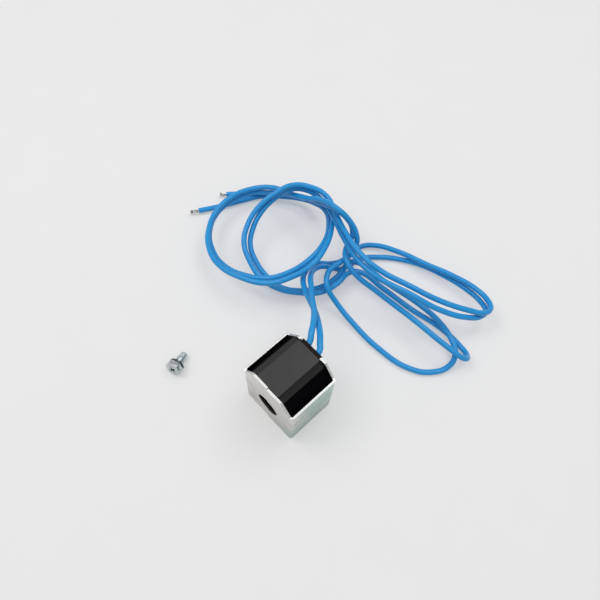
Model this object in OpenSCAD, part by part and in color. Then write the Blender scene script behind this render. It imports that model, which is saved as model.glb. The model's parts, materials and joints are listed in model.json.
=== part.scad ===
// Reversing valve coil: an encapsulated winding in a bent steel yoke, with two insulated
// leads and the loose screw that holds it on the valve. Millimetres, +Z up, the yoke's base
// centred on the origin, the plunger's entry in the front plate towards -Y.

/* [Yoke] */
// Width of the yoke over its side plates
yoke_w = 36; // [35:0.5:42]
// Depth of the yoke over its front and back plates
yoke_d = 30.5; // [28:0.5:36]
// Height of the side plates and of the bends
side_h = 39; // [38:0.5:42]
// Height of the front and back plates at the crown
crown_h = 47.5; // [46.5:0.5:52]
// Width of the crown between its sloping shoulders
crown_w = 20; // [18:0.5:24]
// Radius on the crown's corners
crown_r = 1.5; // [0.5:0.1:3]
// Thickness of the steel strip
sheet_t = 1.2; // [0.8:0.1:1.5]
// Outside radius of the four bends
bend_r = 2; // [1.6:0.1:3]
// Gap of the butt seam in the front plate
seam_gap = 0.25; // [0.1:0.05:0.5]
// Diameter of the plunger's hole in the front plate
front_hole_d = 14; // [13:0.5:16]
// Diameter of the screw hole in the back plate
screw_hole_d = 5.5; // [5.2:0.1:6.5]

/* [Bobbin and winding] */
// Diameter of the bobbin's bore
bore_d = 13.4; // [11:0.1:14.5]
// Height of the bore's axis
bore_z = 21; // [19.5:0.25:21.5]
// Wall of the bobbin's tube
tube_wall = 1.1; // [0.8:0.1:1.6]
// Diameter of the bobbin's flanges
flange_d = 31; // [29.5:0.25:31.5]
// Thickness of the bobbin's flanges
flange_t = 1.5; // [1:0.1:2.5]
// Outside diameter of the wound wire
winding_d = 28; // [22:0.5:28.5]
// Thickness of the tape over the winding
tape_t = 0.3; // [0.1:0.05:0.4]
// Reach of the terminal ledge from the rear flange
ledge_run = 4; // [3:0.25:6]
// Width of the terminal ledge
ledge_w = 12; // [10.5:0.5:14]
// Thickness of the terminal ledge
ledge_h = 3; // [2:0.25:4]
// Side of a terminal's square section
pin_s = 1; // [0.6:0.1:1.4]
// Depth to which a terminal is pressed into the ledge
pin_press = 2; // [1:0.25:2.5]

/* [Moulding] */
// Gap between the moulding and the yoke's plates
mould_slip = 0.1; // [0.05:0.05:0.3]
// Height of the moulding's underside above the table
base_rise = 0.4; // [0.2:0.1:1.5]
// Drop of the plateau below the crown's edge
plateau_drop = 1; // [0.4:0.1:2]
// Width of the plateau between its bevelled shoulders
plateau_w = 15; // [13:0.5:18]
// Width of each bevelled shoulder
shoulder_w = 3.5; // [1:0.25:4]
// Fall of each bevelled shoulder
shoulder_drop = 2.5; // [0.5:0.1:3]
// Drop of the moulding's side edges below the side plates
edge_drop = 3.5; // [1:0.1:5]
// Gap between the resin and what it encloses
resin_gap = 0.05; // [0.02:0.01:0.1]

/* [Lead outlet] */
// Diameter of a lead over its insulation
lead_d = 3.3; // [2.4:0.1:3.4]
// Distance between the leads at the outlet
lead_pitch = 6.8; // [6:0.1:7.5]
// Height of the leads at the outlet
lead_z = 43; // [42.5:0.25:43.5]
// Offset of the outlet and the plateau from the yoke's middle
outlet_x = -1.1; // [-1.5:0.1:0]
// Resin beside the leads in the outlet block
outlet_wall = 1.8; // [0.8:0.1:2]
// Resin below the leads in the outlet block
outlet_floor = 1.2; // [0.8:0.1:1.5]
// How far the outlet block stands out of the back plate
outlet_proud = 1.3; // [0.1:0.1:2]
// Drop of the outlet block's top below the plateau
outlet_drop = 1.1; // [0.3:0.1:1.5]
// Gap round the outlet block in its notch
notch_gap = 0.15; // [0.05:0.05:0.3]
// Gap round a lead in its socket
socket_gap = 0.05; // [0.02:0.01:0.1]
// Diameter of the stripped strands
strand_d = 1.7; // [1.2:0.1:2]
// Length of the stripped strands on the first lead
strip_a = 5.5; // [3:0.5:10]
// Length of the stripped strands on the second lead
strip_b = 4.5; // [3:0.5:10]

/* [Fixing screw] */
// Outside diameter of the thread
thread_d = 5; // [4:0.5:5]
// Length of the screw under its head
shank_l = 9; // [7:0.5:16]
// Diameter of the plain neck under the head
neck_d = 4.5; // [3.4:0.1:4.6]
// Chamfer on the screw's tip
tip_c = 0.6; // [0.3:0.1:1]
// Width of the hexagon head across its flats
head_af = 8.5; // [7:0.5:9]
// Height of the head
head_h = 3.5; // [2.8:0.1:4.5]
// Fall of the chamfer round the head's top
head_c = 0.7; // [0.3:0.1:1.2]
// Length of each arm of the cross recess, end to end
recess_l = 4.6; // [3.5:0.1:5.5]
// Width of the cross recess's arms
recess_w = 1.1; // [0.8:0.1:1.4]
// Depth of the cross recess
recess_h = 1.8; // [1:0.1:2.4]
// Outside diameter of the spring washer
washer_d = 8.8; // [8:0.1:10]
// Thickness of the spring washer
washer_t = 1.2; // [0.8:0.1:1.6]
// Radial running clearance of the washer on the neck
washer_clear = 0.05; // [0.02:0.01:0.1]
// End play of the washer between head and thread
washer_play = 0.2; // [0.1:0.05:0.4]
// Width of the slit in the washer
washer_slit = 0.9; // [0.5:0.1:1.5]
// Place of the loose screw across the table
screw_x = -56; // [-80:0.5:-40]
// Place of the loose screw along the table
screw_y = -34; // [-60:0.5:-25]
// Direction in which the loose screw points
screw_turn = 110; // [0:1:360]

/* [Hidden] */
$fn = 64;

flat_x = yoke_w / 2 - bend_r;
flat_y = yoke_d / 2 - bend_r;
in_x = yoke_w / 2 - sheet_t - mould_slip;
in_y = yoke_d / 2 - sheet_t - mould_slip;
plateau_z = crown_h - plateau_drop;
tube_r = bore_d / 2 + tube_wall;
tape_r = winding_d / 2 + tape_t;
face_y = yoke_d / 2 + outlet_proud;
outlet_w = lead_pitch + lead_d + 2 * outlet_wall;
outlet_z0 = lead_z - lead_d / 2 - outlet_floor;
outlet_z1 = plateau_z - outlet_drop;
ledge_y0 = in_y - flange_t - ledge_run;
ledge_z0 = bore_z + tape_r + 2 * resin_gap;
ledge_z1 = ledge_z0 + ledge_h;
pin_y = ledge_y0 + pin_s;
pin_top = lead_z + pin_s / 2;
lead_y0 = pin_y + pin_s / 2;
washer_in = neck_d / 2 + washer_clear;
neck_l = washer_t + washer_play;
screw_tilt = atan((washer_d - thread_d) / 2 / (shank_l - tip_c - neck_l));
lead_sides = 8;
// Turn of the hexagon and of the washer's slit about the screw's axis
hex_turn = 30;
slit_turn = 200;
// How far a cutting shape runs past the face that it cuts
over = 1;

// Route of the first lead after its outlet: over to the right-hand loop, round the inner
// left-hand loop, the lower right-hand loop and the outer left-hand loop, to its bare end.
route_a = [
    [1.5, 19, 43], [-1, 21.5, 43], [-4, 24.5, 42.5], [-7.5, 27.5, 41], [-16, 34, 34.5], [-26, 40, 27],
    [-35, 44.5, 22.5], [-42, 49.5, 19.5], [-46, 55, 16], [-48.5, 61.5, 13], [-48, 68.5, 9],
    [-44.5, 75.5, 5], [-42, 83.5, 2.5], [-42, 92.5, 2], [-41, 100.5, 2.5], [-35.5, 107, 3.5],
    [-22.5, 113.5, 5], [-3, 119, 7], [13.5, 124, 8.5], [28.5, 126, 10.5], [39, 124, 12.5], [43.5, 120, 14],
    [42.5, 112.5, 17], [37.5, 107.5, 19], [22, 96.5, 23.5], [3.5, 88.5, 27], [-13.5, 82.5, 29],
    [-29, 82, 29.5], [-45.5, 86.5, 28.5], [-60, 92.5, 27.5], [-71.5, 96.5, 28.5], [-82, 93.5, 29.5],
    [-91, 85.5, 29.5], [-94.5, 75.5, 27], [-96, 63, 23], [-92, 49.5, 19], [-85.5, 41.5, 16],
    [-75, 37, 13], [-64.5, 35.5, 10], [-53, 38.5, 8], [-41.5, 47, 7], [-32.5, 57, 8],
    [-30, 67.5, 9.5], [-30.5, 76.5, 10], [-27.5, 82.5, 9], [-9.5, 87, 6], [10.5, 90.5, 3.5],
    [30, 95, 2], [45, 94.5, 2.5], [52.5, 91.5, 5], [52.5, 86, 10.5], [43, 83, 13.5], [19.5, 81, 14.5],
    [-8.5, 78, 15.5], [-25, 75.5, 18.5], [-34.5, 77.5, 20.5], [-40, 83, 20], [-42.5, 90, 20],
    [-45.5, 94, 22], [-51, 94, 28.5], [-60, 91, 33], [-73, 90.5, 26.5],
    [-85.5, 90.5, 19], [-96, 87, 14.5], [-106, 80.5, 12], [-114.5, 72.5, 10.5], [-118, 62.5, 10],
    [-118, 48, 10], [-110, 34, 10.5], [-96, 25.5, 11.5], [-81.5, 23.5, 14], [-67.5, 27.5, 17],
    [-56.5, 35, 19.5], [-50, 46, 22], [-48, 60, 23], [-51, 74.5, 21.5], [-60, 88.5, 16.5],
    [-71.5, 97.5, 12], [-83, 99, 7.5], [-94, 95.5, 4.5], [-104.5, 88, 3], [-113, 80, 2], [-119, 68, 2],
    [-125, 53.5, 2.5], [-131.5, 41, 2.5]];

// Route of the second lead, which keeps company with the first.
route_b = [
    [-5.5, 19, 43], [-7.5, 21.5, 43.5], [-11.5, 27, 42.5], [-17.5, 33.5, 38.5], [-25.5, 40, 32.5],
    [-33, 47, 27], [-39, 52.5, 22.5], [-43.5, 59.5, 17], [-44, 67, 12], [-41.5, 73.5, 6.5], [-38, 78.5, 3],
    [-36.5, 86.5, 2], [-34.5, 95, 2], [-28.5, 103, 2], [-19, 111.5, 2], [-6, 118.5, 3], [9.5, 123, 4],
    [24.5, 124.5, 6], [36.5, 123, 8], [42, 119.5, 10], [43, 113.5, 12.5], [39, 105, 16],
    [25, 93, 21.5], [7, 85, 26.5], [-10.5, 79.5, 27], [-27, 79.5, 26], [-44.5, 85, 24.5],
    [-61, 92, 23.5], [-73, 95, 24], [-84.5, 92.5, 25], [-92, 85, 25], [-94.5, 74.5, 22.5],
    [-94, 63, 19.5], [-89.5, 51.5, 15.5], [-84, 45, 12], [-74, 41, 9], [-64, 40, 6.5], [-53, 42, 4.5],
    [-43.5, 49.5, 3.5], [-37.5, 58.5, 4], [-34.5, 68.5, 6], [-34.5, 76.5, 8.5], [-35.5, 82.5, 10],
    [-31, 86.5, 10.5], [-13, 89.5, 9], [15.5, 95, 7], [28.5, 95, 6.5], [40, 92, 6], [47, 87.5, 5],
    [49.5, 80.5, 3], [45, 70, 2], [34.5, 62, 2], [15, 58, 2], [-6.5, 58, 3], [-23, 58.5, 8],
    [-30.5, 59, 13.5], [-35.5, 63, 15], [-38, 69.5, 15], [-37, 76.5, 15.5], [-36.5, 84, 16.5],
    [-38, 90, 20], [-41, 92, 25.5], [-47.5, 92, 32], [-55.5, 89, 38.5], [-68, 88.5, 35], [-80.5, 87, 26],
    [-93.5, 85.5, 19.5], [-105, 82, 17], [-115, 72.5, 14], [-118.5, 62, 13.5], [-117.5, 47.5, 13.5],
    [-109.5, 33.5, 14], [-97.5, 24, 15], [-83, 20.5, 17], [-67.5, 24, 19], [-53, 32, 22], [-46, 42.5, 25],
    [-43, 56.5, 27], [-46.5, 71, 26], [-55.5, 86, 21.5], [-65.5, 96.5, 17.5], [-75.5, 99, 14.5],
    [-88, 95.5, 11.5], [-100, 89.5, 9], [-111, 81.5, 6.5], [-121, 72, 4], [-129.5, 63, 2.5]];

function unit(v) = v / norm(v);

// Place of a lead across the outlet.
function lead_x(side) = outlet_x + side * lead_pitch / 2;

// Points of a round corner of radius r at p, on the way from a to b.
function corner(a, p, b, r, n = 6) =
    let (u = unit(a - p), v = unit(b - p), half = acos(u * v) / 2)
    let (c = p + unit(u + v) * r / sin(half))
    let (from = p + u * r / tan(half) - c, to = p + v * r / tan(half) - c)
    [for (i = [0:n]) c + r * unit(from * (n - i) + to * i)];

// A lead's whole path: straight out of its socket, then along the chosen points.
function path(side, route) =
    concat([[lead_x(side), lead_y0, lead_z], [lead_x(side), face_y, lead_z]], route);

function heading(p, i) = unit(p[min(i + 1, len(p) - 1)] - p[max(i - 1, 0)]);

function ring(p, i, r) =
    let (t = heading(p, i), u = unit(cross([0, 0, 1], t)), v = cross(t, u), step = 360 / lead_sides)
    [for (k = [0:lead_sides - 1]) p[i] + r * (cos(k * step) * u + sin(k * step) * v)];

// A tube of radius r swept along the points p.
module tube(p, r) {
    n = lead_sides;
    last = len(p) - 1;
    points = [for (i = [0:last]) each ring(p, i, r)];
    walls = [for (i = [0:last - 1], k = [0:n - 1], half = [0, 1])
        let (a = i * n + k, b = i * n + (k + 1) % n)
        half == 0 ? [a, b + n, b] : [a, a + n, b + n]];
    polyhedron(points, concat([[for (k = [0:n - 1]) k]], walls, [[for (k = [n - 1:-1:0]) last * n + k]]));
}

// Stands a flat outline up in the XZ plane, with its back on y and its thickness towards +Y.
module upright(y, t) translate([0, y + t, 0]) rotate([90, 0, 0]) linear_extrude(t) children();

// Turns what points along +Z to point along v from p.
module aim(p, v) translate(p) rotate([0, acos(v[2] / norm(v)), atan2(v[1], v[0])]) children();

// A cylinder on the bore's axis from y0 to y1.
module on_bore(d, y0, y1) translate([0, y1, bore_z]) rotate([90, 0, 0]) cylinder(d = d, h = y1 - y0);

// Half of a plate's outline, from x0 out to the bend, with the crown's shoulder.
module plate_half(x0) {
    foot = [flat_x, side_h];
    peak = [crown_w / 2, crown_h];
    top = [x0, crown_h];
    polygon(concat([[x0, 0], [flat_x, 0], foot], corner(foot, peak, top, crown_r), [top]));
}

module bend(turn) rotate([0, 0, turn]) rotate_extrude(angle = 90)
    translate([bend_r - sheet_t, 0]) square([sheet_t, side_h]);

module yoke_frame() color("#c9ccc4") {
    for (side = [0, 1]) mirror([side, 0, 0]) {
        upright(-yoke_d / 2, sheet_t) difference() {
            plate_half(seam_gap / 2);
            translate([0, bore_z]) circle(d = front_hole_d);
        }
        translate([yoke_w / 2 - sheet_t, -flat_y, 0]) cube([sheet_t, 2 * flat_y, side_h]);
        translate([flat_x, flat_y, 0]) bend(0);
        translate([flat_x, -flat_y, 0]) bend(-90);
    }
    upright(yoke_d / 2 - sheet_t, sheet_t) difference() {
        union() {
            plate_half(0);
            mirror([1, 0]) plate_half(0);
        }
        translate([0, bore_z]) circle(d = screw_hole_d);
        translate([outlet_x - outlet_w / 2 - notch_gap, outlet_z0 - notch_gap])
            square([outlet_w + 2 * notch_gap, crown_h]);
    }
}

// Outline of the moulding across its width: flat sides, slopes, bevelled shoulders, plateau.
module moulding_outline() {
    edge = side_h - edge_drop;
    half = plateau_w / 2;
    low = plateau_z - shoulder_drop;
    polygon([[-in_x, base_rise], [in_x, base_rise], [in_x, edge], [outlet_x + half + shoulder_w, low],
        [outlet_x + half, plateau_z], [outlet_x - half, plateau_z], [outlet_x - half - shoulder_w, low],
        [-in_x, edge]]);
}

// The space that the bobbin, its winding and its terminals take up in the resin.
module core_space() {
    g = resin_gap;
    on_bore(2 * (tape_r + g), -in_y - over, in_y + over);
    on_bore(flange_d + 2 * g, -in_y - over, -in_y + flange_t + g);
    on_bore(flange_d + 2 * g, in_y - flange_t - g, in_y + over);
    translate([-ledge_w / 2 - g, ledge_y0 - g, ledge_z0 - g])
        cube([ledge_w + 2 * g, in_y + over - ledge_y0 + g, ledge_h + 2 * g]);
    translate([-ledge_w / 2 - g, in_y - flange_t - g, bore_z])
        cube([ledge_w + 2 * g, flange_t + g + over, ledge_z1 + g - bore_z]);
    for (side = [-1, 1]) {
        translate([lead_x(side) - pin_s / 2 - g, pin_y - pin_s / 2 - g, ledge_z0])
            cube([pin_s + 2 * g, pin_s + 2 * g, pin_top + g - ledge_z0]);
    }
}

module coil_moulding() color("#2b2b2d") difference() {
    union() {
        intersection() {
            upright(-in_y, 2 * in_y) moulding_outline();
            linear_extrude(crown_h) polygon([
                for (a = [0:3]) let (sx = a < 2 ? 1 : -1, sy = a % 3 == 0 ? -1 : 1)
                    each (a % 2 == 0 ? [[sx * flat_x, sy * in_y], [sx * in_x, sy * flat_y]]
                        : [[sx * in_x, sy * flat_y], [sx * flat_x, sy * in_y]])]);
        }
        translate([outlet_x - outlet_w / 2, in_y - sheet_t, outlet_z0])
            cube([outlet_w, face_y - in_y + sheet_t, outlet_z1 - outlet_z0]);
    }
    core_space();
    for (side = [-1, 1]) translate([lead_x(side), lead_y0, lead_z]) rotate([-90, 0, 0])
        cylinder(d = lead_d + 2 * socket_gap, h = face_y);
}

module bobbin() color("#2c2624") difference() {
    union() {
        on_bore(2 * tube_r, -in_y, in_y);
        on_bore(flange_d, -in_y, -in_y + flange_t);
        on_bore(flange_d, in_y - flange_t, in_y);
        translate([-ledge_w / 2, ledge_y0, ledge_z0]) cube([ledge_w, in_y - ledge_y0, ledge_h]);
        translate([-ledge_w / 2, in_y - flange_t, bore_z]) cube([ledge_w, flange_t, ledge_z1 - bore_z]);
    }
    on_bore(bore_d, -in_y - over, in_y + over);
    for (side = [-1, 1]) translate([lead_x(side) - pin_s / 2, pin_y - pin_s / 2, ledge_z1 - pin_press])
        cube([pin_s, pin_s, pin_press + over]);
}

module winding() color("#b5651d") difference() {
    on_bore(winding_d, -in_y + flange_t + resin_gap, in_y - flange_t - resin_gap);
    on_bore(2 * (tube_r + resin_gap), -in_y, in_y);
}

module winding_tape() color("#d8c24a") difference() {
    on_bore(2 * tape_r, -in_y + flange_t + resin_gap, in_y - flange_t - resin_gap);
    on_bore(winding_d + 2 * min(resin_gap, tape_t / 4), -in_y, in_y);
}

module terminal(side) color("#c8b06a")
    translate([lead_x(side) - pin_s / 2, pin_y - pin_s / 2, ledge_z1 - pin_press])
        cube([pin_s, pin_s, pin_top - ledge_z1 + pin_press]);

module terminal_a() terminal(1);

module terminal_b() terminal(-1);

module lead_a() color("#2f8fd8") tube(path(1, route_a), lead_d / 2);

module lead_b() color("#2f8fd8") tube(path(-1, route_b), lead_d / 2);

// The bare strands that stand out of the last point of a route.
module strands(route, l) {
    last = len(route) - 1;
    aim(route[last], route[last] - route[last - 1]) cylinder(d = strand_d, h = l);
}

module lead_a_strands() color("#b9b4a8") strands(route_a, strip_a);

module lead_b_strands() color("#b9b4a8") strands(route_b, strip_b);

// The screw's own axis is +Z from tip to head, with the underside of the head at zero. It lies
// on the rim of its washer and on the end of its thread.
module as_it_lies() translate([screw_x, screw_y, washer_d / 2 * cos(screw_tilt)])
    rotate([0, 0, screw_turn]) rotate([0, -90 + screw_tilt, 0]) translate([0, 0, neck_l]) children();

module fixing_screw() color("#b7bcbf") as_it_lies() {
    difference() {
        intersection() {
            rotate([0, 0, hex_turn]) cylinder(r = head_af / sqrt(3), h = head_h, $fn = 6);
            rotate_extrude() polygon([[0, 0], [head_af, 0], [head_af, head_h - head_c - head_af / 4],
                [head_af / 2 - head_c / 2, head_h], [0, head_h]]);
        }
        for (turn = [45, 135]) rotate([0, 0, turn])
            translate([-recess_l / 2, -recess_w / 2, head_h - recess_h])
            cube([recess_l, recess_w, recess_h + over]);
    }
    rotate_extrude() polygon([[0, -shank_l], [thread_d / 2 - tip_c, -shank_l],
        [thread_d / 2, -shank_l + tip_c], [thread_d / 2, -neck_l], [neck_d / 2, -neck_l], [neck_d / 2, 0],
        [0, 0]]);
}

module spring_washer() color("#8d9296") as_it_lies() translate([0, 0, -washer_t - washer_play / 2])
    difference() {
        cylinder(d = washer_d, h = washer_t);
        translate([0, 0, -over]) cylinder(r = washer_in, h = washer_t + 2 * over);
        rotate([0, 0, slit_turn]) translate([0, -washer_slit / 2, -over])
            cube([washer_d, washer_slit, washer_t + 2 * over]);
    }

yoke_frame();
coil_moulding();
bobbin();
winding();
winding_tape();
terminal_a();
terminal_b();
lead_a();
lead_b();
lead_a_strands();
lead_b_strands();
fixing_screw();
spring_washer();
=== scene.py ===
# %% [markdown]
# A solenoid coil for a heat pump's reversing valve
#
# This lesson dresses a finished engineering model in Blender. The model holds the pieces at
# their real size, in metres, with the yoke's base centred on the origin. Each step below takes
# one piece or one finish, says what it is on the real object and shows one way of making it.

# %% Load the engineering model
import json
import math

import bmesh
import bpy
from mathutils import Matrix, Vector, geometry


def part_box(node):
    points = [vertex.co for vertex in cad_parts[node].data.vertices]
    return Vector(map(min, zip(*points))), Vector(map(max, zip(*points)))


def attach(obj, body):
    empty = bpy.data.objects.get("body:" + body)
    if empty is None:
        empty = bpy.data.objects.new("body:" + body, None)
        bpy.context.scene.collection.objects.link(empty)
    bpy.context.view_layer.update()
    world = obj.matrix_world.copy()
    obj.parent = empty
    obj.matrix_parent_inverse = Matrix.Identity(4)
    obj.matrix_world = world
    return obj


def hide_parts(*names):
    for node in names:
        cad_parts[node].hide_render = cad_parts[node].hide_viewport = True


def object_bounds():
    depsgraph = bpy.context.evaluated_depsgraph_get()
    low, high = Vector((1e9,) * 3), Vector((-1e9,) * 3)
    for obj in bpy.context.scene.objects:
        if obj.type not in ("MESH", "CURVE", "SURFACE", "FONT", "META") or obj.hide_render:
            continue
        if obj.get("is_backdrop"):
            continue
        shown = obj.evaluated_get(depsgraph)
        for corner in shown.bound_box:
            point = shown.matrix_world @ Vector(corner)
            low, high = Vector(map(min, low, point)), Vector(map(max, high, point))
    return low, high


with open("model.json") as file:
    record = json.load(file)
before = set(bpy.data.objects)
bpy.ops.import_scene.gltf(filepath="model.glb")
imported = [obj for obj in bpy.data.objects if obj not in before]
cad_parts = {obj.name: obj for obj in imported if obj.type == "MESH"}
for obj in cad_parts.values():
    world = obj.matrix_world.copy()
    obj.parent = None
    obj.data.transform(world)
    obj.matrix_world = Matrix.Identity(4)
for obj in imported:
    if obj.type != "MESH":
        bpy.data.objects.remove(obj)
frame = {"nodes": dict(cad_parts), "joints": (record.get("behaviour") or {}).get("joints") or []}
cad_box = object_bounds()
scene = bpy.context.scene
MM = 0.001
print("nodes:", ", ".join(sorted(frame["nodes"])))

# %% [markdown]
# The camera stands above the front corner of the coil and looks down at it. It could be moved by
# eye until the picture fits. Matching the yoke's corners with the photograph gave its place, its
# three angles and its lens instead, so the pieces only need their real sizes to land in place.

# %% Make the camera
CAMERA_AT = Vector((63.3, -64.15, 302.4)) * MM
CAMERA_TURN = math.radians(-43.14)
CAMERA_DOWN = math.radians(63.4)
CAMERA_ROLL = math.radians(4.17)
LENS_MM = 33.24
NEAREST = 10 * MM

ahead = Vector((math.sin(CAMERA_TURN) * math.cos(CAMERA_DOWN),
                math.cos(CAMERA_TURN) * math.cos(CAMERA_DOWN), -math.sin(CAMERA_DOWN)))
level = Vector((math.cos(CAMERA_TURN), -math.sin(CAMERA_TURN), 0))
over = level.cross(ahead)
across = math.cos(CAMERA_ROLL) * level + math.sin(CAMERA_ROLL) * over
upward = math.cos(CAMERA_ROLL) * over - math.sin(CAMERA_ROLL) * level
aim = Matrix((across, upward, -ahead)).transposed()

camera = bpy.data.objects.new("camera", bpy.data.cameras.new("camera"))
scene.collection.objects.link(camera)
camera.data.lens = LENS_MM
camera.data.clip_start = NEAREST
camera.matrix_world = Matrix.Translation(CAMERA_AT) @ aim.to_4x4()
scene.camera = camera
print("camera height: %.0f mm" % (camera.location.z / MM))

# %% [markdown]
# Two leads of stranded wire leave the outlet at the back. They are limp, about a metre long and
# lie in a loose figure of eight, one over the other. They could be dropped by a simulation, but
# then they would not lie where the photograph shows them. So their route is written down, as
# points in millimetres from the outlet to the bare end. They are the engineering model's points.

# %% Choose the leads' routes
LEAD_D = 3.3 * MM
LEAD_PITCH = 6.8 * MM
LEAD_Z = 43 * MM
LEAD_INNER_Y = 9.95 * MM
OUTLET_X = -1.1 * MM
OUTLET_FACE_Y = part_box("coil_moulding")[1].y

LEAD_A_ROUTE = [
    (1.5, 19, 43), (-1, 21.5, 43), (-4, 24.5, 42.5), (-7.5, 27.5, 41), (-16, 34, 34.5), (-26, 40, 27),
    (-35, 44.5, 22.5), (-42, 49.5, 19.5), (-46, 55, 16), (-48.5, 61.5, 13), (-48, 68.5, 9),
    (-44.5, 75.5, 5), (-42, 83.5, 2.5), (-42, 92.5, 2), (-41, 100.5, 2.5), (-35.5, 107, 3.5),
    (-22.5, 113.5, 5), (-3, 119, 7), (13.5, 124, 8.5), (28.5, 126, 10.5), (39, 124, 12.5),
    (43.5, 120, 14), (42.5, 112.5, 17), (37.5, 107.5, 19), (22, 96.5, 23.5), (3.5, 88.5, 27),
    (-13.5, 82.5, 29), (-29, 82, 29.5), (-45.5, 86.5, 28.5), (-60, 92.5, 27.5), (-71.5, 96.5, 28.5),
    (-82, 93.5, 29.5), (-91, 85.5, 29.5), (-94.5, 75.5, 27), (-96, 63, 23), (-92, 49.5, 19),
    (-85.5, 41.5, 16), (-75, 37, 13), (-64.5, 35.5, 10), (-53, 38.5, 8), (-41.5, 47, 7), (-32.5, 57, 8),
    (-30, 67.5, 9.5), (-30.5, 76.5, 10), (-27.5, 82.5, 9), (-9.5, 87, 6), (10.5, 90.5, 3.5), (30, 95, 2),
    (45, 94.5, 2.5), (52.5, 91.5, 5), (52.5, 86, 10.5), (43, 83, 13.5), (19.5, 81, 14.5),
    (-8.5, 78, 15.5), (-25, 75.5, 18.5), (-34.5, 77.5, 20.5), (-40, 83, 20), (-42.5, 90, 20),
    (-45.5, 94, 22), (-51, 94, 28.5), (-60, 91, 33), (-73, 90.5, 26.5), (-85.5, 90.5, 19),
    (-96, 87, 14.5), (-106, 80.5, 12), (-114.5, 72.5, 10.5), (-118, 62.5, 10), (-118, 48, 10),
    (-110, 34, 10.5), (-96, 25.5, 11.5), (-81.5, 23.5, 14), (-67.5, 27.5, 17), (-56.5, 35, 19.5),
    (-50, 46, 22), (-48, 60, 23), (-51, 74.5, 21.5), (-60, 88.5, 16.5), (-71.5, 97.5, 12), (-83, 99, 7.5),
    (-94, 95.5, 4.5), (-104.5, 88, 3), (-113, 80, 2), (-119, 68, 2), (-125, 53.5, 2.5), (-131.5, 41, 2.5)]

LEAD_B_ROUTE = [
    (-5.5, 19, 43), (-7.5, 21.5, 43.5), (-11.5, 27, 42.5), (-17.5, 33.5, 38.5), (-25.5, 40, 32.5),
    (-33, 47, 27), (-39, 52.5, 22.5), (-43.5, 59.5, 17), (-44, 67, 12), (-41.5, 73.5, 6.5),
    (-38, 78.5, 3), (-36.5, 86.5, 2), (-34.5, 95, 2), (-28.5, 103, 2), (-19, 111.5, 2), (-6, 118.5, 3),
    (9.5, 123, 4), (24.5, 124.5, 6), (36.5, 123, 8), (42, 119.5, 10), (43, 113.5, 12.5), (39, 105, 16),
    (25, 93, 21.5), (7, 85, 26.5), (-10.5, 79.5, 27), (-27, 79.5, 26), (-44.5, 85, 24.5), (-61, 92, 23.5),
    (-73, 95, 24), (-84.5, 92.5, 25), (-92, 85, 25), (-94.5, 74.5, 22.5), (-94, 63, 19.5),
    (-89.5, 51.5, 15.5), (-84, 45, 12), (-74, 41, 9), (-64, 40, 6.5), (-53, 42, 4.5), (-43.5, 49.5, 3.5),
    (-37.5, 58.5, 4), (-34.5, 68.5, 6), (-34.5, 76.5, 8.5), (-35.5, 82.5, 10), (-31, 86.5, 10.5),
    (-13, 89.5, 9), (15.5, 95, 7), (28.5, 95, 6.5), (40, 92, 6), (47, 87.5, 5), (49.5, 80.5, 3),
    (45, 70, 2), (34.5, 62, 2), (15, 58, 2), (-6.5, 58, 3), (-23, 58.5, 8), (-30.5, 59, 13.5),
    (-35.5, 63, 15), (-38, 69.5, 15), (-37, 76.5, 15.5), (-36.5, 84, 16.5), (-38, 90, 20),
    (-41, 92, 25.5), (-47.5, 92, 32), (-55.5, 89, 38.5), (-68, 88.5, 35), (-80.5, 87, 26),
    (-93.5, 85.5, 19.5), (-105, 82, 17), (-115, 72.5, 14), (-118.5, 62, 13.5), (-117.5, 47.5, 13.5),
    (-109.5, 33.5, 14), (-97.5, 24, 15), (-83, 20.5, 17), (-67.5, 24, 19), (-53, 32, 22), (-46, 42.5, 25),
    (-43, 56.5, 27), (-46.5, 71, 26), (-55.5, 86, 21.5), (-65.5, 96.5, 17.5), (-75.5, 99, 14.5),
    (-88, 95.5, 11.5), (-100, 89.5, 9), (-111, 81.5, 6.5), (-121, 72, 4), (-129.5, 63, 2.5)]

print("points on the routes:", len(LEAD_A_ROUTE), "and", len(LEAD_B_ROUTE))

# %% [markdown]
# A lead is a plain round cable. It could be swept as a circle along an edge path, but a curve does
# the same with less work: automatic handles round it at every point, and a bevel gives it thickness.

# %% Draw the leads
CURVE_STEPS, ROUND_STEPS = 8, 6


def draw_lead(name, side, route):
    """One lead as a curve, from inside its socket to its bare end."""
    socket_x = OUTLET_X + side * LEAD_PITCH / 2
    socket = [Vector((socket_x, y, LEAD_Z)) for y in (LEAD_INNER_Y, OUTLET_FACE_Y)]
    points = socket + [Vector(p) * MM for p in route]
    curve = bpy.data.curves.new(name, "CURVE")
    curve.dimensions = "3D"
    curve.bevel_depth = LEAD_D / 2
    curve.bevel_resolution = ROUND_STEPS
    curve.resolution_u = CURVE_STEPS
    curve.use_fill_caps = True
    spline = curve.splines.new("BEZIER")
    spline.bezier_points.add(len(points) - 1)
    for knot, point in zip(spline.bezier_points, points):
        knot.co = point
        knot.handle_left_type = knot.handle_right_type = "AUTO"
    lead = bpy.data.objects.new(name, curve)
    scene.collection.objects.link(lead)
    print("%s: a curve through %d points" % (name, len(points)))
    return lead


lead_a = draw_lead("blue_lead_a", 1, LEAD_A_ROUTE)
lead_b = draw_lead("blue_lead_b", -1, LEAD_B_ROUTE)
bpy.context.view_layer.update()

# %% [markdown]
# The length of a lead and the wires on its bare end need its middle line. That could be measured on
# the finished tube, but the curve knows it exactly.

# %% Turn the leads into tubes
LEAD_SMOOTH = math.radians(50)


def work_on(piece):
    """Makes a piece the only selected one."""
    bpy.ops.object.select_all(action="DESELECT")
    piece.select_set(True)
    bpy.context.view_layer.objects.active = piece


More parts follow.
